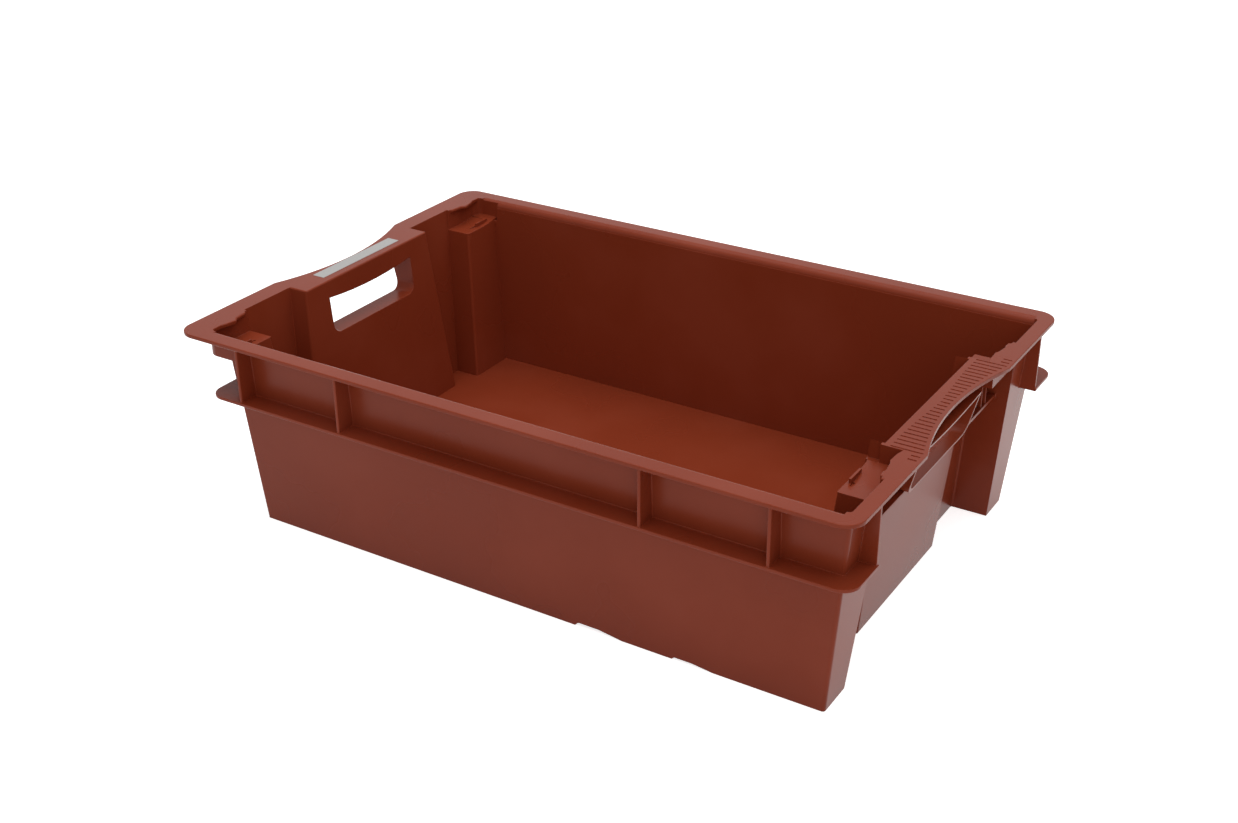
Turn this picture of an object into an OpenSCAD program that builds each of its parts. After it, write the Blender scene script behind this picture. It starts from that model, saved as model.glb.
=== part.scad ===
// Stack-and-nest transport crate, one moulding, with a blank label on its left grip.
// X runs along the long side, the front long wall faces -Y, Z is up, base plane at z = 0.
// An inset is a distance inwards from the rim edge and a drop a distance down from the rim top.
// Walls lean in from the rim top, so an inset of a wall is taken at that height.

/* [Overall size] */
// Length over the rim, along X
crate_length = 600; // [400:5:800]
// Width over the rim, along Y
crate_width = 400; // [360:5:600]
// Height from the base plane to the top of the rim
crate_height = 170; // [120:1:320]

/* [Walls] */
// Wall thickness
wall = 2.5; // [2:0.1:3.5]
// Top face of the floor
floor_top = 9.5; // [6:0.5:20]
// Floor plate thickness
floor_thickness = 2.8; // [1.5:0.1:5]
// Long walls, inset of the outer face
side_inset = 15.8; // [10:0.2:18]
// Draft of the long walls, mm sideways per mm down
side_draft = 0.051; // [0.02:0.001:0.12]
// Draft of the end walls, mm sideways per mm down
end_draft = 0.09; // [0.02:0.005:0.12]
// Corner radius of the legs
leg_radius = 3; // [1:0.5:8]

/* [Rim and flange] */
// Thickness of the rim plate
rim_thickness = 3.2; // [2:0.1:5]
// Radius of the rim corners seen from above
rim_radius = 16; // [4:1:24]
// Radius of the rounded inner edge of the rim over the long walls
rim_inner_radius = 6; // [3:0.5:7]
// Middle flange, drop of its underside
flange_drop = 52.3; // [40:0.1:70]
// Thickness of the middle flange
flange_thickness = 2.8; // [1.5:0.1:5]
// Radius of the flange corners
flange_radius = 14; // [4:1:24]
// Long edges of the flange, inset
flange_inset = 0.6; // [0:0.1:3]
// Left edge of the flange, inset
flange_left_inset = 28; // [24:1:36]
// Edge of the flange across the right end between the webs, inset
flange_right_inset = 25; // [23:1:28]
// Thickness of the upright ribs and webs
rib_thickness = 2.8; // [1.5:0.1:5]
// Outer edges of the ribs, inset
rib_edge_inset = 1.6; // [0.5:0.1:4]
// Outer pair of ribs on the long walls, inset from the ends
rib_end_inset = 63; // [54:1:90]
// Inner pair of ribs on the long walls, distance from the middle
rib_inner = 136; // [40:1:220]
// Corner webs at the right end, inset from the long sides
web_inset = 42; // [30:1:50]
// Outer edge of the corner webs, inset
web_edge_inset = 0.8; // [0.2:0.1:4]
// Thickness of the two thin ribs under each right seat
thin_rib = 1.6; // [1:0.1:3]
// Distance between the two thin ribs
thin_rib_gap = 9; // [5:0.5:14]

/* [Right end] */
// Corner legs, inset of the end face
leg_inset = 9.7; // [8:0.1:12]
// Middle panel, inset of the outer face
right_panel_inset = 30.2; // [27:0.1:33]
// Half width of the middle panel
right_panel_half = 83.5; // [80:0.5:88]
// Narrowing of the middle panel, mm per mm down
recess_draft = 0.05; // [0:0.005:0.1]
// Back wall of the recesses beside the panel, inset
recess_inset = 41.2; // [38:0.1:46]
// Inner side of the corner legs, inset from the long sides
leg_side_inset = 73.3; // [68:0.1:78]

/* [Left end] */
// End wall, inset of the outer face
left_wall_inset = 16; // [14:0.1:18]
// Middle panel, inset of the outer face
left_panel_inset = 34.5; // [32:0.1:38]
// Half width of the panel recess
left_panel_half = 80.7; // [74:0.1:86]
// Corner columns, inset of the outer face
column_inset = 40.3; // [38:0.1:44]
// Side of the corner columns, inset from the long sides
column_side_inset = 58.2; // [54:0.1:62]

/* [Stacking seats] */
// Drop of the seats that carry the crate above
seat_drop = 19; // [14:0.5:26]
// Thickness of the seat plate
seat_thickness = 2.5; // [1.5:0.1:5]
// End face of the boxes over the right seats, inset
right_seat_inset = 12.4; // [11:0.1:15]
// Inner side of the boxes over the right seats, distance from the middle line
right_seat_inner = 82; // [80:0.5:84]
// End face of the boxes over the left seats, inset
left_seat_inset = 18.4; // [17:0.1:20]
// Long side face of the boxes over the left seats, inset
left_seat_side_inset = 13.8; // [13:0.1:16]
// Outside corner radius of the boxes over the left seats
seat_radius = 11; // [6:0.5:14]
// Height of the ramp at the end of a right seat
right_ramp_height = 4.5; // [2:0.5:8]
// Height of the ramp at the end of a left seat
left_ramp_height = 3; // [1:0.5:8]
// Length of the ramp
ramp_length = 28; // [15:1:36]
// Height of the locating fin on a seat
fin_height = 4; // [1:0.5:8]
// Length of the locating fin
fin_length = 18; // [8:1:24]
// Width of the fin and of the slot beside it
fin_width = 2; // [1:0.1:3]
// Depth of the slot beside the fin
slot_depth = 1.2; // [0.4:0.1:1.4]

/* [Grips] */
// Half length of the hand hole
hole_half = 56; // [40:1:66]
// Drop of the lower edge of the hand hole
hole_bottom_drop = 49; // [42:0.5:54]
// Drop of the upper edge of the hand hole at its ends
hole_top_drop = 15.5; // [10:0.5:20]
// How far the bar hangs lower in its middle
bar_sag = 3.5; // [1:0.5:6]
// Corner radius at the bottom of the hand hole
hole_radius = 9; // [4:0.5:12]
// Depth of the inward bow of the left bar
left_bow = 15.5; // [4:0.5:17]
// Depth of the inward bow of the right bar
right_bow = 13; // [4:0.5:15]
// Half length of the bow
bow_half = 82; // [60:1:90]
// Left hand hole sleeve, inset of its lower edge
left_sleeve_inset = 23.4; // [21:0.1:26]
// Right hand hole sleeve, inset of its lower edge
right_sleeve_inset = 22; // [20:0.1:24]
// Outward lean of the sleeve edge, mm per mm up
sleeve_lean = 0.25; // [0:0.01:0.35]
// Number of grooves across the right bar
groove_count = 33; // [9:2:33]
// Groove spacing
groove_pitch = 5.9; // [4:0.1:6]
// Groove width
groove_width = 1.5; // [0.5:0.1:3]
// Groove depth
groove_depth = 0.7; // [0.2:0.1:1.5]
// Number of finger scallops along the right hand hole
scallop_count = 7; // [3:1:9]
// Radius of a finger scallop
scallop_radius = 8; // [5:0.5:8]
// Depth of a finger scallop
scallop_depth = 2; // [0.5:0.1:2.2]

/* [Notches in the base edge] */
// Start of the wide notch, distance from the middle
wide_notch_start = 66; // [20:1:120]
// Length of the wide notch
wide_notch_length = 42; // [10:1:60]
// Height of the wide notch
wide_notch_height = 3; // [1:0.5:5]
// Start of the narrow notch, distance from the middle
narrow_notch_start = 151; // [130:1:190]
// Length of the narrow notch
narrow_notch_length = 34; // [10:1:50]
// Height of the narrow notch
narrow_notch_height = 2; // [1:0.5:5]

/* [Label] */
// Length of the label along the bar
label_length = 104; // [40:1:120]
// Width of the label
label_width = 12; // [6:0.5:13]
// Thickness of the label
label_thickness = 0.2; // [0.1:0.05:0.5]
// Middle of the label, inset
label_inset = 23.5; // [23:0.1:24.5]

/* [Hidden] */
half_length = crate_length / 2;
half_width = crate_width / 2;
rim_underside = crate_height - rim_thickness;
flange_bottom = crate_height - flange_drop;
flange_top = flange_bottom + flange_thickness;
seat_height = crate_height - seat_drop;
seat_underside = seat_height - seat_thickness;
hole_bottom = crate_height - hole_bottom_drop;
hole_top = crate_height - hole_top_drop;
web_y = half_width - web_inset;
left_seat_x = half_length - left_seat_inset;
left_seat_side = half_width - left_seat_side_inset;
right_seat_x = half_length - right_seat_inset;

// Cutters run past the faces that they cut, and joined solids run into each other.
over = 1;
skin = 0.5;
corner_steps = 4;
base_reach = 10;
hollow_reach = 20;
cut_reach = 30;
wall_into_rim = 1.2;
box_into_rim = 1.5;
into_wall = wall / 2;
right_fin_gap = 2;
left_fin_gap = 1 + 2.5 * fin_width;

// Ripple of the rim over the seats: place along Y, then overhang from the box wall.
right_ripple = [[0, 2.3], [8, 4.1], [19, 4.5], [22, 3.1], [32, 1.6], [36, 2.5], [41, 2.1], [45, -3.5]];
left_ripple = [[0, -2.4], [4, 2.1], [15, 3.3], [20, 6.7], [29, 4.9], [35, 3.1], [48, 3.6]];

// Faces of leaning walls at height z.
function end_x(inset, z) = half_length - inset - end_draft * (crate_height - z);
function side_y(z) = half_width - side_inset - side_draft * (crate_height - z);
function left_recess_y(z) = left_panel_half + end_draft * (crate_height - z);
function right_panel_y(z) = right_panel_half - recess_draft * (crate_height - z);
function leg_side_y(z) = half_width - leg_side_inset + end_draft * (crate_height - z);
function column_side_y(z) = half_width - column_side_inset - end_draft * (crate_height - z);

// Plan corners of the wall at height z, inset by t, for the half with positive Y.
// Each entry is x, y and corner radius. The right panel and the seats are cut out later.
function half_plan(z, t, r) = [
    [end_x(leg_inset, z) - t, side_y(z) - t, r],
    [t - end_x(left_wall_inset, z), side_y(z) - t, r],
    [t - end_x(left_wall_inset, z), left_recess_y(z) + t, 0],
    [t - end_x(left_panel_inset, z), left_recess_y(z) + t, 0]];
function mirrored(p) = [for (i = [len(p) - 1 : -1 : 0]) [p[i][0], -p[i][1], p[i][2]]];
function plan(z, t, r) = let (h = half_plan(z, t, r)) concat(h, mirrored(h));

// Rounds every corner of a plan with a short curve of corner_steps steps. Corners and curve steps
// are whole hundredths of a millimetre, so the same corner at two heights makes flat facets.
function hundredths(v) = [round(v[0] * 100) / 100, round(v[1] * 100) / 100];
function unit2(v) = v / norm(v);
function bend(a, p, b) =
    let (q = hundredths(p), u = unit2(hundredths(a) - q), v = unit2(hundredths(b) - q))
    [for (k = [0 : corner_steps]) let (f = k / corner_steps)
        q + hundredths((u * (1 - f) * (1 - f) + v * f * f) * p[2])];
function rounded(p) =
    let (m = len(p))
    [for (i = [0 : m - 1])
        each p[i][2] == 0 ? [hundredths(p[i])] : bend(p[(i + m - 1) % m], p[i], p[(i + 1) % m])];

// Solid between two plans with the same number of points.
module loft(low, high, z0, z1) {
    n = len(low);
    polyhedron(
        points = concat([for (p = low) [p[0], p[1], z0]], [for (p = high) [p[0], p[1], z1]]),
        faces = concat(
            [[for (i = [0 : n - 1]) i]],
            [[for (i = [n - 1 : -1 : 0]) n + i]],
            [for (i = [0 : n - 1]) [i, n + i, n + (i + 1) % n, (i + 1) % n]]),
        convexity = 10);
}
module body_loft(z0, z1, t, r) {
    loft(rounded(plan(z0, t, r)), rounded(plan(z1, t, r)), z0, z1);
}

// Copies a piece to both sides of the middle line.
module both_sides() {
    for (s = [0, 1])
        mirror([0, s, 0]) children();
}

// Plan of the cut that leaves the middle panel and the recesses of the right end, grown by g.
function right_cut(z, g) =
    let (far = half_length + hollow_reach, leg = leg_side_y(z) + g, panel = right_panel_y(z) - g,
         face = end_x(right_panel_inset, z) - g, back = end_x(recess_inset, z) - g)
    [for (p = [[far, -leg], [far, leg], [back, leg], [back, panel],
               [face, panel], [face, -panel], [back, -panel], [back, -leg]]) hundredths(p)];

// Plan of the cut beside a corner column of the left end, grown by g.
function column_cut(z, g) =
    let (far_x = -half_length - hollow_reach, far_y = half_width + hollow_reach,
         face = g - end_x(column_inset, z), side = column_side_y(z) - g)
    [for (p = [[far_x, side], [face, side], [face, far_y], [far_x, far_y]]) hundredths(p)];

// Recesses of the right end and the two inset corners of the left end, grown by g.
module end_cuts(g) {
    low = -cut_reach;
    high = crate_height + cut_reach;
    loft(right_cut(low, g), right_cut(high, g), low, high);
    both_sides()
        loft(column_cut(low, g), column_cut(high, g), low, high);
}

// Boxes over the stacking seats, from z0 to z1, inset by t. They run well into the walls behind.
module seat_boxes(z0, z1, t) {
    right_back = end_x(recess_inset, seat_underside) - 4 * wall - 2 * t;
    right_side = leg_side_y(seat_height) + 2 * wall + t;
    left_back = end_x(column_inset, seat_underside) - 3 * wall + t;
    left_side = column_side_y(seat_underside) - 2 * wall - t;
    both_sides() {
        translate([right_back, right_seat_inner + t, z0])
            cube([right_seat_x - t - right_back, right_side - right_seat_inner - t, z1 - z0]);
        difference() {
            translate([t - left_seat_x, left_side, z0])
                cube([left_seat_x - t - left_back, left_seat_side - t - left_side, z1 - z0]);
            translate([t - left_seat_x, left_seat_side - t, z0 - over])
                corner_round(seat_radius - t, z1 - z0 + 2 * over);
        }
    }
}

// Cutter that rounds an upright corner at the origin with material towards +X and -Y.
module corner_round(r, h) {
    difference() {
        translate([-over, -r, 0])
            cube([r + over, r + over, h]);
        translate([r, -r, -over])
            cylinder(r = r, h = h + 2 * over, $fn = 48);
    }
}

// Flat plate with round corners, from x0 to x1 and to y on both sides.
module round_plate(x0, x1, y, r, h) {
    difference() {
        translate([x0, -y, 0])
            cube([x1 - x0, 2 * y, h]);
        both_sides() {
            translate([x0, y, -over])
                corner_round(r, h + 2 * over);
            translate([x1, y, -over])
                mirror([1, 0, 0]) corner_round(r, h + 2 * over);
        }
    }
}

// Outside of the body as a solid, open under the stacking seats.
module outer_form() {
    color("#7d3b2b")
        union() {
            difference() {
                body_loft(-base_reach, rim_underside + wall_into_rim, 0, leg_radius);
                end_cuts(0);
                translate([-half_length, -half_width, -2 * base_reach])
                    cube([crate_length, crate_width, 2 * base_reach]);
            }
            seat_boxes(seat_underside, rim_underside + box_into_rim, 0);
        }
}

// Ramp that lifts one end of a seat: a hollow curve in the YZ plane, swept from x0 to x1.
module ramp(x0, x1, high_y, low_y, rise) {
    steps = 8;
    curve = [for (k = [0 : steps]) let (f = k / steps)
        [high_y + (low_y - high_y) * f, seat_height + rise * (1 - f) * (1 - f)]];
    translate([x0, 0, 0])
        rotate([90, 0, 90])
            linear_extrude(height = x1 - x0)
                polygon(concat(curve, [[low_y, seat_height - over], [high_y, seat_height - over]]));
}

// Ramps and locating fins that stand on the seats.
module seat_reliefs() {
    right_x = end_x(recess_inset, seat_height) - wall + right_fin_gap;
    right_y = right_seat_inner + wall - skin;
    left_x = end_x(column_inset, seat_height) - wall;
    left_y = left_seat_side - wall + skin;
    both_sides() {
        ramp(right_x, right_seat_x, right_y, right_y + ramp_length, right_ramp_height);
        translate([right_x, right_y + ramp_length / 2, seat_height - over])
            cube([fin_width, fin_length, fin_height + over]);
        ramp(-left_seat_x, -left_x, left_y, left_y - ramp_length, left_ramp_height);
        translate([-left_x - left_fin_gap, left_y - ramp_length, seat_height - over])
            cube([fin_width, fin_length, fin_height + over]);
    }
}

// Slots in the seat plate beside the fins.
module seat_slots() {
    right_x = end_x(recess_inset, seat_height) - wall + right_fin_gap + fin_width;
    left_x = end_x(column_inset, seat_height) - wall + left_fin_gap;
    both_sides() {
        translate([right_x, right_seat_inner + wall + ramp_length, seat_height - slot_depth])
            cube([fin_width, fin_length / 3, slot_depth + over]);
        translate([-left_x - fin_width, left_seat_side - wall - ramp_length - fin_length / 3,
                   seat_height - slot_depth])
            cube([fin_width, fin_length / 2, slot_depth + over]);
    }
}

// Opens the side of a right seat towards the inside, above the ramp.
module seat_openings() {
    back = end_x(recess_inset, seat_height) - 2 * wall;
    face = end_x(right_panel_inset, seat_height) - wall;
    low = seat_height + right_ramp_height;
    both_sides()
        translate([back, right_seat_inner - over, low])
            cube([face - back, wall + 2 * over, crate_height + over - low]);
}

// Rounds the inner edge of the rim over the long walls.
module rim_rounding() {
    steps = 8;
    r = rim_inner_radius;
    y = side_y(crate_height) - wall;
    z = crate_height - r;
    left = left_seat_x - seat_radius;
    right = end_x(leg_inset, crate_height) - wall - leg_radius;
    curve = [for (k = [0 : steps]) let (a = 90 * k / steps) [y + r - r * cos(a), z + r * sin(a)]];
    both_sides()
        translate([-left, 0, 0])
            rotate([90, 0, 90])
                linear_extrude(height = left + right)
                    polygon(concat(curve, [[y + r, crate_height + over],
                                           [y - over, crate_height + over], [y - over, z]]));
}

// Everything hollow: the inside above the floor and the open space under it.
module hollow_form() {
    union() {
        difference() {
            body_loft(-hollow_reach, crate_height + hollow_reach, wall, leg_radius);
            end_cuts(wall);
            translate([-half_length, -half_width, floor_top - floor_thickness])
                cube([crate_length, crate_width, floor_thickness]);
        }
        difference() {
            seat_boxes(seat_height, crate_height + over, wall);
            seat_reliefs();
        }
        seat_openings();
        rim_rounding();
    }
}

// Circle that cuts the inward bow of a grip bar.
module bow_cut(side, depth) {
    bow_r = (bow_half * bow_half + depth * depth) / (2 * depth);
    translate([side * (half_length - depth + bow_r), 0, rim_underside - over])
        cylinder(r = bow_r, h = rim_thickness + 2 * over, $fn = 128);
}

// Rippled inner edge of the rim over a seat, on the end that side names.
module rim_pad(side, wall_x, start_y, ripple) {
    last_y = start_y + ripple[len(ripple) - 1][0];
    edge = [for (p = ripple) [side * (wall_x - p[1]), start_y + p[0]]];
    translate([0, 0, rim_underside])
        linear_extrude(height = rim_thickness)
            polygon(concat([[side * (wall_x + 2 * wall), start_y]], edge,
                           [[side * (wall_x + 2 * wall), last_y]]));
}

module rim_pads() {
    color("#9c5a45")
        both_sides() {
            rim_pad(1, right_seat_x - wall, right_seat_inner + 0.7 * wall, right_ripple);
            rim_pad(-1, left_seat_x - wall, column_side_y(crate_height) - 1.1 * wall, left_ripple);
        }
}

module rim() {
    color("#9c5a45")
        difference() {
            translate([0, 0, rim_underside])
                round_plate(-half_length, half_length, half_width, rim_radius, rim_thickness);
            bow_cut(-1, left_bow);
            bow_cut(1, right_bow);
        }
}

module middle_flange() {
    tongue_x = half_length - left_sleeve_inset;
    right_x = half_length - flange_right_inset;
    color("#8b3a22")
        translate([0, 0, flange_bottom])
            difference() {
                union() {
                    round_plate(flange_left_inset - half_length, half_length,
                        half_width - flange_inset, flange_radius, flange_thickness);
                    translate([-tongue_x, -hole_half - wall, 0])
                        cube([8 * wall, 2 * (hole_half + wall), flange_thickness]);
                }
                translate([right_x, -web_y + rib_thickness / 2, -over])
                    cube([2 * flange_right_inset, 2 * web_y - rib_thickness, flange_thickness + 2 * over]);
            }
}

// Upright ribs of the long walls, corner webs and thin ribs, from the flange to the rim.
module ribs() {
    low = flange_top - skin;
    tall = rim_underside + skin - low;
    root_y = side_y(flange_bottom) - into_wall;
    rib_end = half_length - rib_end_inset;
    web_x = end_x(leg_inset, flange_bottom) - 2 * wall;
    thin_x = end_x(recess_inset, flange_bottom) - into_wall;
    thin_middle = (right_panel_y(flange_top) + leg_side_y(flange_top)) / 2;
    color("#8b4632")
        both_sides() {
            for (x = [-rib_end, -rib_inner, rib_inner, rib_end])
                translate([x - rib_thickness / 2, root_y, low])
                    cube([rib_thickness, half_width - rib_edge_inset - root_y, tall]);
            translate([web_x, web_y - rib_thickness / 2, low])
                cube([half_length - web_edge_inset - web_x, rib_thickness, tall]);
            for (d = [-thin_rib_gap / 2, thin_rib_gap / 2])
                translate([thin_x, thin_middle + d - thin_rib / 2, low])
                    cube([half_length - flange_right_inset - over - thin_x, thin_rib, tall]);
        }
}

// Outline of the hand hole in the YZ plane, grown by g.
module hole_outline(g) {
    y = hole_half + g;
    low = hole_bottom - g;
    high = hole_top + g;
    r = hole_radius;
    sag_r = (y * y + bar_sag * bar_sag) / (2 * bar_sag);
    difference() {
        union() {
            translate([-y, low + r])
                square([2 * y, high - low - r]);
            translate([-y + r, low])
                square([2 * (y - r), r + over]);
            for (c = [-1, 1])
                translate([c * (y - r), low + r]) circle(r = r, $fn = 32);
        }
        translate([0, high - bar_sag + sag_r])
            circle(r = sag_r, $fn = 128);
    }
}

// Prism of the hand hole outline along X.
module hole_prism(x0, x1, g) {
    translate([x0, 0, 0])
        rotate([90, 0, 90])
            linear_extrude(height = x1 - x0) hole_outline(g);
}

// Sleeve round one hand hole, from the panel out to a leaning edge.
module sleeve(side, sleeve_inset, panel_inset) {
    edge = half_length - sleeve_inset;
    face = end_x(panel_inset, hole_bottom) - wall;
    low_z = hole_bottom - wall;
    color("#7a3526")
        intersection() {
            hole_prism(min(side * face, side * half_length), max(side * face, side * half_length), wall);
            rotate([90, 0, 0])
                translate([0, 0, -half_width])
                    linear_extrude(height = crate_width)
                        polygon([[side * (face - over), low_z - over],
                                 [side * (edge - sleeve_lean * over), low_z - over],
                                 [side * (edge + sleeve_lean * (crate_height - low_z)), crate_height],
                                 [side * (face - over), crate_height]]);
        }
}

// Grooves across the right bar; their length follows the bow and the inner edge of the rim.
module grip_grooves() {
    bar_x = end_x(right_panel_inset, crate_height) - wall;
    for (i = [0 : groove_count - 1]) {
        y = (i - (groove_count - 1) / 2) * groove_pitch;
        f = min(1, abs(y) / bow_half);
        outer = half_length - wall - groove_depth - right_bow * (1 - f * f);
        middle = bar_x + 2 * wall + 4 * max(0, 1 - abs(y) / hole_half);
        inner = abs(y) > right_panel_half ? right_seat_x - 2 : middle;
        translate([inner, y - groove_width / 2, crate_height - groove_depth])
            cube([outer - inner, groove_width, groove_depth + over]);
    }
}

// Finger scallops in the inner lower edge of the right hand hole.
module finger_scallops() {
    pitch = 2 * (hole_half - hole_radius) / scallop_count;
    face = end_x(right_panel_inset, hole_bottom);
    for (i = [0 : scallop_count - 1])
        translate([face - 2 * wall, (i - (scallop_count - 1) / 2) * pitch,
                   hole_bottom + scallop_radius - scallop_depth])
            rotate([0, 90, 0])
                cylinder(r = scallop_radius, h = 3.5 * wall, $fn = 48);
}

// Shallow opening in the lower edge of the long walls, steep at its start, gentle at its end.
module base_notch(start, notch_length, height) {
    y = side_y(0);
    translate([start, y + over, 0])
        rotate([90, 0, 0])
            linear_extrude(height = wall + 3 * over)
                polygon([[-over, -over], [height, height], [notch_length / 2, height],
                         [notch_length, 0], [notch_length, -over]]);
}

module base_notches() {
    both_sides() {
        base_notch(wide_notch_start, wide_notch_length, wide_notch_height);
        base_notch(narrow_notch_start, narrow_notch_length, narrow_notch_height);
    }
}

module crate_body() {
    hole_reach = end_x(column_inset, 0);
    color("#7d3b2b")
        union() {
            difference() {
                union() {
                    outer_form();
                    rim();
                    middle_flange();
                    ribs();
                    sleeve(-1, left_sleeve_inset, left_panel_inset);
                    sleeve(1, right_sleeve_inset, right_panel_inset);
                }
                hollow_form();
                hole_prism(-half_length - over, -hole_reach, 0);
                hole_prism(hole_reach, half_length + over, 0);
                finger_scallops();
                grip_grooves();
                base_notches();
                seat_slots();
            }
            rim_pads();
        }
}

module grip_label() {
    color("#b8b6b4")
        translate([label_inset - half_length - label_width / 2, -label_length / 2, crate_height])
            cube([label_width, label_length, label_thickness]);
}

crate_body();
grip_label();
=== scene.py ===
import math

import bmesh
import bpy
import numpy as np
from mathutils import Matrix, Vector


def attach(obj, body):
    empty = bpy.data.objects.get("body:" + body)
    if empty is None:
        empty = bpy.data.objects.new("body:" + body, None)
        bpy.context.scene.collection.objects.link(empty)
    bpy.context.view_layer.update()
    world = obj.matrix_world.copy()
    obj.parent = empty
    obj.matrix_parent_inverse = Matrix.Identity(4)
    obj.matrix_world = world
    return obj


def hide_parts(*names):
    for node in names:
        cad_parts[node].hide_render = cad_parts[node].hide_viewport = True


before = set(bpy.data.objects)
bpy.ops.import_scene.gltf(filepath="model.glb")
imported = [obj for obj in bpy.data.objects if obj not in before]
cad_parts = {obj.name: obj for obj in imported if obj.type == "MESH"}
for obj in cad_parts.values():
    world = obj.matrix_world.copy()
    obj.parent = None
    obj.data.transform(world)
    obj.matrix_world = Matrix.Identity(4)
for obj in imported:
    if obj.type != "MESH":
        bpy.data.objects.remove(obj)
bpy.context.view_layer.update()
scene = bpy.context.scene
mm = 0.001
print("stage: frame loaded")


# Turns an sRGB hex value into the linear colour that Blender's sockets hold.
def colour(hexText):
    parts = np.array([int(hexText[i:i + 2], 16) for i in (1, 3, 5)]) / 255
    linear = np.where(parts <= 0.04045, parts / 12.92, ((parts + 0.055) / 1.055) ** 2.4)
    return (*linear.tolist(), 1.0)


# Adds one shader node: input values, links into its inputs, and its own settings.
def addNode(tree, kind, values=None, links=None, **settings):
    node = tree.nodes.new(kind)
    for name, value in settings.items():
        setattr(node, name, value)
    for socket, value in (values or {}).items():
        node.inputs[socket].default_value = value
    for socket, source in (links or {}).items():
        tree.links.new(source, node.inputs[socket])
    return node


def emptyMaterial(name):
    material = bpy.data.materials.new(name)
    material.use_nodes = True
    material.node_tree.nodes.clear()
    return material, material.node_tree


# High-density polyethylene, injection moulded in an eroded steel tool. To the eye: a satin skin
# with soft wide highlights, a brick-red brown that clouds a little where the pigment flowed,
# and slow sink waves in the flat walls. The real grain is finer than the render can show, so it
# is drawn about twice as coarse. Tone and gloss both follow one slow noise: its height picks the
# tone from dark through body to light, and the same height spreads the roughness from polished
# to matt.
polyethylene = {
    "dark": "#83351f",
    "body": "#86361f",
    "light": "#8b3b25",
    "toneHeights": (0.3, 0.5, 0.68),
    "glossHeights": (0.35, 0.65),
    "cloudSize": 120 * mm,
    "cloudDetail": 3.0,
    "grainSize": 1.1 * mm,
    "grainDetail": 2.0,
    "grainDepth": 0.015 * mm,
    "sinkSize": 90 * mm,
    "sinkDepth": 0.25 * mm,
    "polished": 0.26,
    "matt": 0.30,
    "ior": 1.5,
    "mirror": 0.12,
}


def mouldedPolyethylene(s):
    material, tree = emptyMaterial("mouldedPolyethylene")
    place = addNode(tree, "ShaderNodeTexCoord").outputs["Object"]
    cloud = addNode(tree, "ShaderNodeTexNoise",
                    {"Scale": 1 / s["cloudSize"], "Detail": s["cloudDetail"]}, {"Vector": place})
    tint = addNode(tree, "ShaderNodeValToRGB", links={"Fac": cloud.outputs["Fac"]})
    low, middle, high = s["toneHeights"]
    stops = tint.color_ramp.elements
    stops[0].position, stops[0].color = low, colour(s["dark"])
    stops[1].position, stops[1].color = high, colour(s["light"])
    stops.new(middle).color = colour(s["body"])
    low, high = s["glossHeights"]
    gloss = addNode(tree, "ShaderNodeMapRange",
                    {"From Min": low, "From Max": high,
                     "To Min": s["polished"], "To Max": s["matt"]},
                    {"Value": cloud.outputs["Fac"]})
    sink = addNode(tree, "ShaderNodeTexNoise", {"Scale": 1 / s["sinkSize"], "Detail": 0.0},
                   {"Vector": place})
    grain = addNode(tree, "ShaderNodeTexNoise",
                    {"Scale": 1 / s["grainSize"], "Detail": s["grainDetail"]}, {"Vector": place})
    waves = addNode(tree, "ShaderNodeBump", {"Strength": 1.0, "Distance": s["sinkDepth"]},
                    {"Height": sink.outputs["Fac"]})
    skin = addNode(tree, "ShaderNodeBump", {"Strength": 1.0, "Distance": s["grainDepth"]},
                   {"Height": grain.outputs["Fac"], "Normal": waves.outputs["Normal"]})
    shader = addNode(tree, "ShaderNodeBsdfPrincipled",
                     {"IOR": s["ior"], "Specular IOR Level": s["mirror"]},
                     {"Base Color": tint.outputs["Color"], "Roughness": gloss.outputs["Result"],
                      "Normal": skin.outputs["Normal"]})
    addNode(tree, "ShaderNodeOutputMaterial", links={"Surface": shader.outputs["BSDF"]})
    return material


# Self-adhesive label: white paper under a clear film, printed grey. To the eye: a pale flat
# strip, a little uneven in tone from its fibres, with a soft even sheen from the film.
labelStock = {
    "shade": "#a3a19f",
    "paper": "#b0aeac",
    "fibreSize": 2.5 * mm,
    "fibreDetail": 4.0,
    "fibreDepth": 0.02 * mm,
    "roughness": 0.4,
}


def filmedPaper(s):
    material, tree = emptyMaterial("filmedPaper")
    place = addNode(tree, "ShaderNodeTexCoord").outputs["Object"]
    fibre = addNode(tree, "ShaderNodeTexNoise",
                    {"Scale": 1 / s["fibreSize"], "Detail": s["fibreDetail"]}, {"Vector": place})
    tint = addNode(tree, "ShaderNodeValToRGB", links={"Fac": fibre.outputs["Fac"]})
    tint.color_ramp.elements[0].color = colour(s["shade"])
    tint.color_ramp.elements[1].color = colour(s["paper"])
    bump = addNode(tree, "ShaderNodeBump", {"Strength": 1.0, "Distance": s["fibreDepth"]},
                   {"Height": fibre.outputs["Fac"]})
    shader = addNode(tree, "ShaderNodeBsdfPrincipled", {"Roughness": s["roughness"]},
                     {"Base Color": tint.outputs["Color"], "Normal": bump.outputs["Normal"]})
    addNode(tree, "ShaderNodeOutputMaterial", links={"Surface": shader.outputs["BSDF"]})
    return material


crateSkin = mouldedPolyethylene(polyethylene)
labelSkin = filmedPaper(labelStock)
print("stage: materials made")

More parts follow.
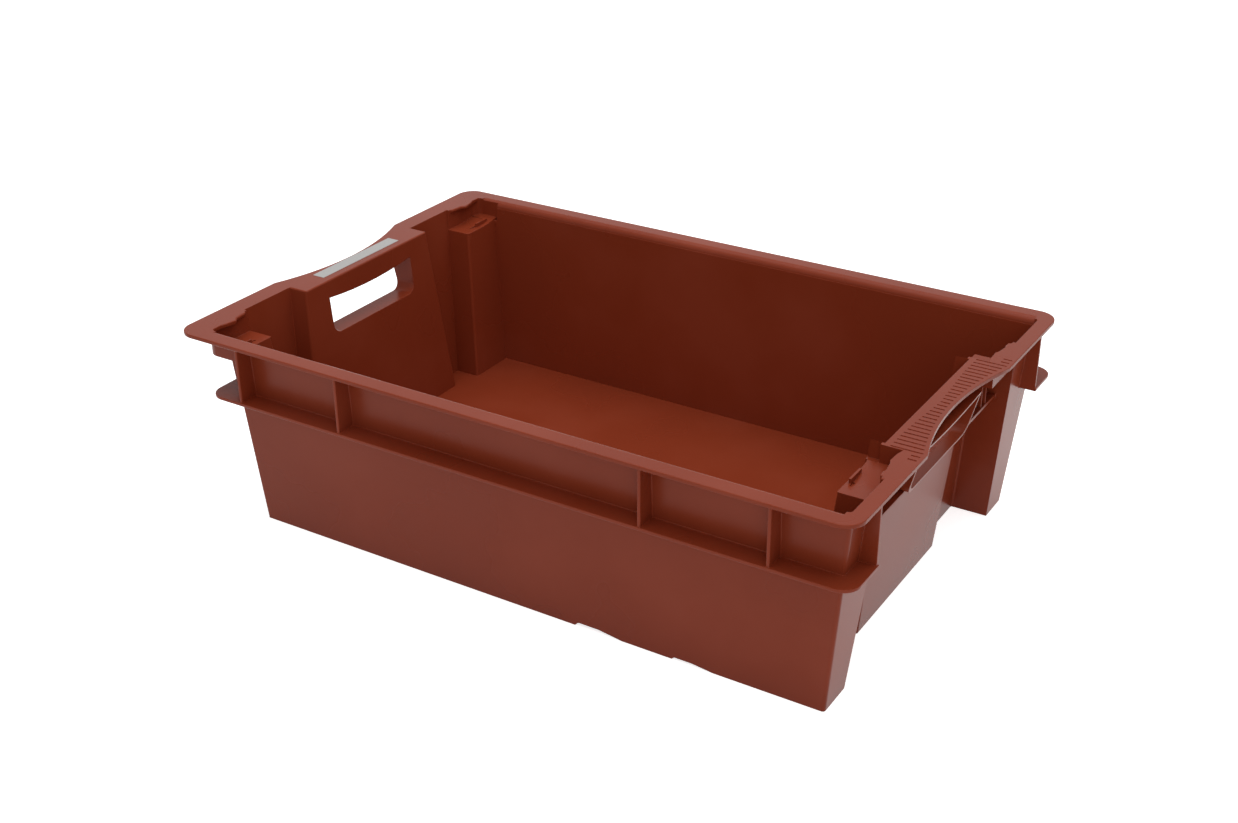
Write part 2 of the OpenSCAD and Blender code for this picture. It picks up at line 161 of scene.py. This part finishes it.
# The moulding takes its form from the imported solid, and nearly every edge gets the rounding that
# the mould gives it. Lengths and radii are in millimetres, and angles in degrees but for wideAngle
# and bendAngle, which are in radians. levelRise and uprightRise are shares of an edge's length.
# A box holds the low and the high corner of a region of |x|, |y| and z.
far = (310, 210, 180)
moulding = {
    "merge": 0.002,
    "flatAngle": 0.6,
    "sharpAngle": 30.0,
    "segments": 3,
    "faceWeight": 80,
    "cuts": [((20, 0, 0), (1, 0, 0)), ((0, 2, 0), (0, 1, 0))],
    "cutReach": 0.001,
    "share": 0.42,
    "wideAngle": 3.0,
    "clear": 0.9,
    "bendAngle": 1.75,
    "slack": 0.7,
    "passes": 100,
    "levelRise": 0.2,
    "uprightRise": 0.9,
    "radii": {
        "outside": 0.5,
        "inside": 0.8,
        "rim": 1.3,
        "flange": 1.0,
        "rib": 0.8,
        "upright": 2.4,
        "leg": 0.8,
        "fine": 0.3,
        "sleeve": 0.45,
        "groove": 0.22,
    },
    "rimShortest": 2,
    "uprightShortest": 90,
    "grooveLongest": 28,
    "boxes": {
        "rim": ((-1, -1, 166.5), far),
        "flange": ((-1, 62, 117.5), (310, 210, 120.8)),
        "ribs": ((-1, 186, 120), far),
        "legs": ((262, -1, -1), (310, 210, 160)),
        "feet": ((262, -1, -1), (310, 210, 5)),
        "ramps": ((250, -1, 149), (310, 210, 158)),
        "scallops": ((262, -1, 117), (310, 57, 123.5)),
        "sleeves": ((250, -1, 114), (310, 62, 160)),
        "grooves": ((262, -1, 169), (310, 98, 180)),
        "floorPlate": ((-1, -1, 5), (310, 210, 12)),
    },
}

# Lengths, areas and radii below this, in millimetres, count as nothing.
tiny = 1e-6


# Reads the copy's edges as arrays: middle, direction and length in millimetres, and the angle
# between the two faces, above zero where the edge stands out and below where it is hollow.
def edgeFacts(bm):
    ends = np.array([[v.co[:] for v in e.verts] for e in bm.edges]) / mm
    turn = np.array([e.calc_face_angle_signed(0.0) for e in bm.edges])
    span = ends[:, 1] - ends[:, 0]
    length = np.linalg.norm(span, axis=1)
    return ends.mean(axis=1), span / np.maximum(length, tiny)[:, None], length, np.degrees(turn)


# Keeps the roundings of one face clear of each other: from each corner to each side that doesn't
# touch it, the distance has to hold both roundings.
def clearFace(face, radius, s):
    corner = np.array([loop.vert.co[:] for loop in face.loops]) / mm
    edge = np.array([loop.edge.index for loop in face.loops])
    count = len(edge)
    side = np.roll(corner, -1, axis=0) - corner
    reach = corner[:, None] - corner[None]
    square = np.maximum(np.einsum("jk,jk->j", side, side), tiny)
    along = np.einsum("ijk,jk->ij", reach, side) / square
    apart = np.linalg.norm(reach - np.clip(along, 0, 1)[..., None] * side[None], axis=2)
    point, other = np.nonzero(apart > tiny)
    for own in (edge[point], edge[(point - 1) % count]):
        both = radius[own] + radius[edge[other]]
        scale = np.minimum(1, s["clear"] * apart[point, other] / np.maximum(both, tiny))
        fits = radius[own] * scale, radius[edge[other]] * scale
        np.minimum.at(radius, own, fits[0])
        np.minimum.at(radius, edge[other], fits[1])


# Keeps each rounding within its room. Where two edges of a face meet at the inner angle a,
# rounding by r takes r / tan(a / 2) off both, and all that must fit in a share of their lengths.
# An angle over wideAngle counts as that. Where two edges meet at over bendAngle they are one
# bending line, and their roundings differ by no more than slack * sin(a), so that it tapers.
def fitRadii(bm, radius, length, s):
    corners = [(loop.edge.index, loop.link_loop_prev.edge.index, loop.calc_angle())
               for face in bm.faces for loop in face.loops]
    first, second, angle = np.array(corners).T
    first, second = first.astype(int), second.astype(int)
    shorter = np.minimum(length[first], length[second])
    fits = s["share"] * shorter * np.tan(np.minimum(angle, s["wideAngle"]) / 2)
    fitted = radius.copy()
    np.minimum.at(fitted, first, fits)
    np.minimum.at(fitted, second, fits)
    for face in bm.faces:
        clearFace(face, fitted, s)
    bending = (angle > s["bendAngle"]) & (radius[first] > 0) & (radius[second] > 0)
    first, second = first[bending], second[bending]
    slack = s["slack"] * np.sin(angle[bending])
    for _ in range(s["passes"]):
        np.minimum.at(fitted, first, fitted[second] + slack)
        np.minimum.at(fitted, second, fitted[first] + slack)
    return fitted


# The rounding of each edge: a class by place and direction, and no more than there is room for.
# Edges of the floor plate, and edges that hardly turn, stay as they are.
def edgeRadii(bm, s):
    middle, along, length, turn = edgeFacts(bm)
    place = np.column_stack([np.abs(middle[:, :2]), middle[:, 2]])
    inside = {name: np.all((place > low) & (place < high), axis=1)
              for name, (low, high) in s["boxes"].items()}
    rightEnd = middle[:, 0] > 0
    rise = np.abs(along[:, 2])
    level = rise < s["levelRise"]
    upright = rise > s["uprightRise"]
    proud = turn > 0
    size = s["radii"]
    radius = np.where(proud, size["outside"], size["inside"])
    radius[level & inside["rim"] & (length > s["rimShortest"])] = size["rim"]
    radius[level & proud & inside["flange"]] = size["flange"]
    radius[upright & proud & inside["ribs"]] = size["rib"]
    radius[upright & (length > s["uprightShortest"])] = size["upright"]
    fine = inside["ramps"] | inside["feet"] | (rightEnd & inside["scallops"])
    for some, name in ((inside["legs"], "leg"), (fine, "fine"), (inside["sleeves"], "sleeve")):
        radius[some] = np.minimum(radius[some], size[name])
    radius[rightEnd & inside["grooves"] & (length < s["grooveLongest"])] = size["groove"]
    radius[inside["floorPlate"] | (np.abs(turn) < s["sharpAngle"])] = 0
    return fitRadii(bm, radius, length, s)


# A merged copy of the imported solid's mesh, cut in two places so that no face is a closed ring.
# Rounded edges are shaded smooth, and unrounded ones that turn sharply stay crisp.
def buildMoulding(s):
    mesh = bpy.data.meshes.new("crateMoulding")
    bm = bmesh.new()
    bm.from_mesh(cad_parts["crate_body"].data)
    bmesh.ops.remove_doubles(bm, verts=bm.verts, dist=s["merge"] * mm)
    bmesh.ops.dissolve_limit(bm, angle_limit=math.radians(s["flatAngle"]), verts=bm.verts,
                             edges=bm.edges)
    for place, facing in s["cuts"]:
        bmesh.ops.bisect_plane(bm, geom=bm.verts[:] + bm.edges[:] + bm.faces[:],
                               dist=s["cutReach"] * mm, plane_co=Vector(place) * mm,
                               plane_no=facing)
    bm.edges.index_update()
    bm.normal_update()
    radii = edgeRadii(bm, s)
    sharp = math.radians(s["sharpAngle"])
    for edge, radius in zip(bm.edges, radii):
        edge.smooth = bool(radius > 0 or abs(edge.calc_face_angle_signed(0.0)) < sharp)
    bm.to_mesh(mesh)
    bm.free()
    weight = mesh.attributes.new("bevel_weight_edge", "FLOAT", "EDGE")
    weight.data.foreach_set("value", (radii / radii.max()).astype(np.float32))
    mesh.shade_smooth()
    crate = bpy.data.objects.new("crateMoulding", mesh)
    scene.collection.objects.link(crate)
    rounding = crate.modifiers.new("mouldedEdges", "BEVEL")
    rounding.limit_method = "WEIGHT"
    rounding.offset_type = "OFFSET"
    rounding.width = float(radii.max()) * mm
    rounding.segments = s["segments"]
    rounding.use_clamp_overlap = False
    flats = crate.modifiers.new("flatFaces", "WEIGHTED_NORMAL")
    flats.weight = s["faceWeight"]
    flats.keep_sharp = True
    mesh.materials.append(crateSkin)
    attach(crate, "root")
    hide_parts("crate_body")
    print("stage: moulding", len(mesh.vertices), "points,", int((radii > 0).sum()), "rounded edges")


buildMoulding(moulding)

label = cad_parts["grip_label"]
label.data.materials.clear()
label.data.materials.append(labelSkin)
print("stage: label dressed")

# The camera of the photograph. Lengths are in millimetres and angles in degrees.
camera = {
    "azimuth": 31.772,
    "elevation": 26.993,
    "roll": -0.257,
    "distance": 1404.9,
    "aim": (-5.62, 5.31, 85),
    "lens": 48.57,
    "sensor": 36.0,
    "nearest": 10,
}


def placeCamera(s):
    turn, rise = math.radians(s["azimuth"]), math.radians(s["elevation"])
    back = Vector((math.sin(turn) * math.cos(rise), -math.cos(turn) * math.cos(rise),
                   math.sin(rise)))
    eye = bpy.data.objects.new("photoCamera", bpy.data.cameras.new("photoCamera"))
    scene.collection.objects.link(eye)
    eye.data.lens = s["lens"]
    eye.data.sensor_width = s["sensor"]
    eye.data.clip_start = s["nearest"] * mm
    eye.location = (Vector(s["aim"]) + back * s["distance"]) * mm
    eye.rotation_mode = "QUATERNION"
    roll = Matrix.Rotation(math.radians(s["roll"]), 3, "Z").to_quaternion()
    eye.rotation_quaternion = (-back).to_track_quat("-Z", "Y") @ roll
    scene.camera = eye


placeCamera(camera)

# A plain white studio: seamless paper below, an even pale surround and wide soft lamps. Lengths
# are in metres.
studio = {
    "halfFloor": 6.0,
    "paper": "#f4f4f4",
    "paperLift": 0.75,
    "surround": 0.34,
    "lamps": {
        "overheadSoftbox": {"place": (0.1, 0.1, 2.2), "size": 2.6, "power": 40},
        "frontSoftbox": {"place": (1.3, -2.1, 1.2), "size": 1.5, "power": 9},
    },
}


# Is 1 for rays that show the paper or the surround itself: to the camera, in a reflection or
# through a clear part.
def seenDirectly(tree):
    ray = addNode(tree, "ShaderNodeLightPath")
    mirrored = addNode(tree, "ShaderNodeMath",
                       links={0: ray.outputs["Is Camera Ray"], 1: ray.outputs["Is Glossy Ray"]},
                       operation="ADD")
    total = addNode(tree, "ShaderNodeMath",
                    links={0: mirrored.outputs["Value"], 1: ray.outputs["Is Transmission Ray"]},
                    operation="ADD", use_clamp=True)
    return total.outputs["Value"]


# The paper lights the crate as paper, and where it is seen it is lifted to white. Only the
# darkest of the crate's shadow, close beside it, still shows through the lift.
def layFloor(s):
    material, tree = emptyMaterial("seamlessPaper")
    paper = addNode(tree, "ShaderNodeBsdfDiffuse", {"Color": colour(s["paper"])})
    lift = addNode(tree, "ShaderNodeEmission", {"Strength": s["paperLift"]})
    seen = addNode(tree, "ShaderNodeAddShader",
                   links={0: paper.outputs["BSDF"], 1: lift.outputs["Emission"]})
    choice = addNode(tree, "ShaderNodeMixShader",
                     links={"Fac": seenDirectly(tree), 1: paper.outputs["BSDF"],
                            2: seen.outputs["Shader"]})
    addNode(tree, "ShaderNodeOutputMaterial", links={"Surface": choice.outputs["Shader"]})
    h = s["halfFloor"]
    mesh = bpy.data.meshes.new("studioFloor")
    mesh.from_pydata([(-h, -h, 0), (h, -h, 0), (h, h, 0), (-h, h, 0)], [], [(0, 1, 2, 3)])
    mesh.materials.append(material)
    floor = bpy.data.objects.new("studioFloor", mesh)
    scene.collection.objects.link(floor)


def lightStudio(s):
    scene.world = bpy.data.worlds.new("paleSurround")
    scene.world.use_nodes = True
    tree = scene.world.node_tree
    tree.nodes.clear()
    soft = addNode(tree, "ShaderNodeBackground", {"Color": (1, 1, 1, 1), "Strength": s["surround"]})
    white = addNode(tree, "ShaderNodeBackground", {"Color": (1, 1, 1, 1), "Strength": 1.0})
    choice = addNode(tree, "ShaderNodeMixShader",
                     links={"Fac": seenDirectly(tree), 1: soft.outputs["Background"],
                            2: white.outputs["Background"]})
    addNode(tree, "ShaderNodeOutputWorld", links={"Surface": choice.outputs["Shader"]})
    for name, lamp in s["lamps"].items():
        light = bpy.data.lights.new(name, "AREA")
        light.size = lamp["size"]
        light.energy = lamp["power"]
        holder = bpy.data.objects.new(name, light)
        scene.collection.objects.link(holder)
        holder.location = lamp["place"]
        holder.rotation_mode = "QUATERNION"
        holder.rotation_quaternion = (-Vector(lamp["place"])).to_track_quat("-Z", "Y")


layFloor(studio)
lightStudio(studio)
scene.view_settings.view_transform = "Standard"
print("stage: studio set")
